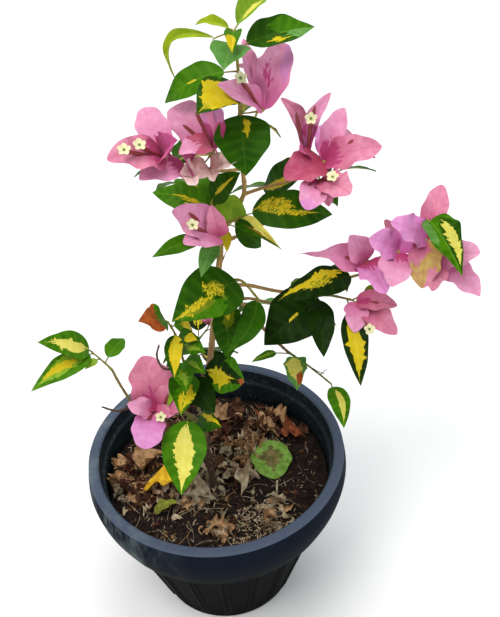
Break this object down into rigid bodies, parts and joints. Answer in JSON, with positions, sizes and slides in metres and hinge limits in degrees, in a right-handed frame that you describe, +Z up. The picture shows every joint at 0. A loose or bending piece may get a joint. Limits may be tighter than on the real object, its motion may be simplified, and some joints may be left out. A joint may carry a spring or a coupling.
{
  "type": "potted bougainvillea",
  "caption": "Young bougainvillea with cream-edged green leaves and papery pink bracts, growing in a round ribbed plastic pot of soil.",
  "frame": {"origin": "centre of the pot's flat underside", "axes": "+Z up the plant, -Y the side that the picture was taken from, +X to that view's right"},
  "size_m": [0.3641, 0.26, 0.6281],
  "materials": {
    "pot": "satin dark blue-grey plastic, a little dusty",
    "soil": "damp crumbly potting soil with dead leaves",
    "bark": "thin brown bark",
    "foliage": "smooth leaves, green with yellow patches",
    "bloom": "papery pink bracts with small cream flowers"
  },
  "bodies": {
    "root": {"pot": "pot", "soil": "soil", "trunk": "bark", "leader": "bark", "bough_upper_left": "bark", "bough_upper_right": "bark", "bough_right": "bark", "bough_lower_right": "bark", "bough_lower_left": "bark", "bough_left_tip": "bark", "bough_inner": "bark", "bough_front": "bark", "bough_back_right": "bark", "bough_back_left": "bark", "bough_back_middle": "bark", "bough_back_low": "bark", "crown": "foliage", "spray_upper_left": "bloom", "spray_upper_right": "bloom", "spray_fork_right": "foliage", "spray_fork_left": "foliage", "spray_middle_left": "foliage", "spray_right": "bloom", "spray_right_hanging": "foliage", "spray_lower_right": "foliage", "spray_centre": "foliage", "spray_inner": "foliage", "spray_front": "foliage", "spray_lower_left": "bloom", "spray_far_left": "foliage", "spray_back_top": "foliage", "spray_back_right": "foliage", "spray_back_left": "foliage", "spray_back_middle": "foliage", "spray_back_low": "foliage", "spray_back_far": "foliage"}
  },
  "joints": []
}
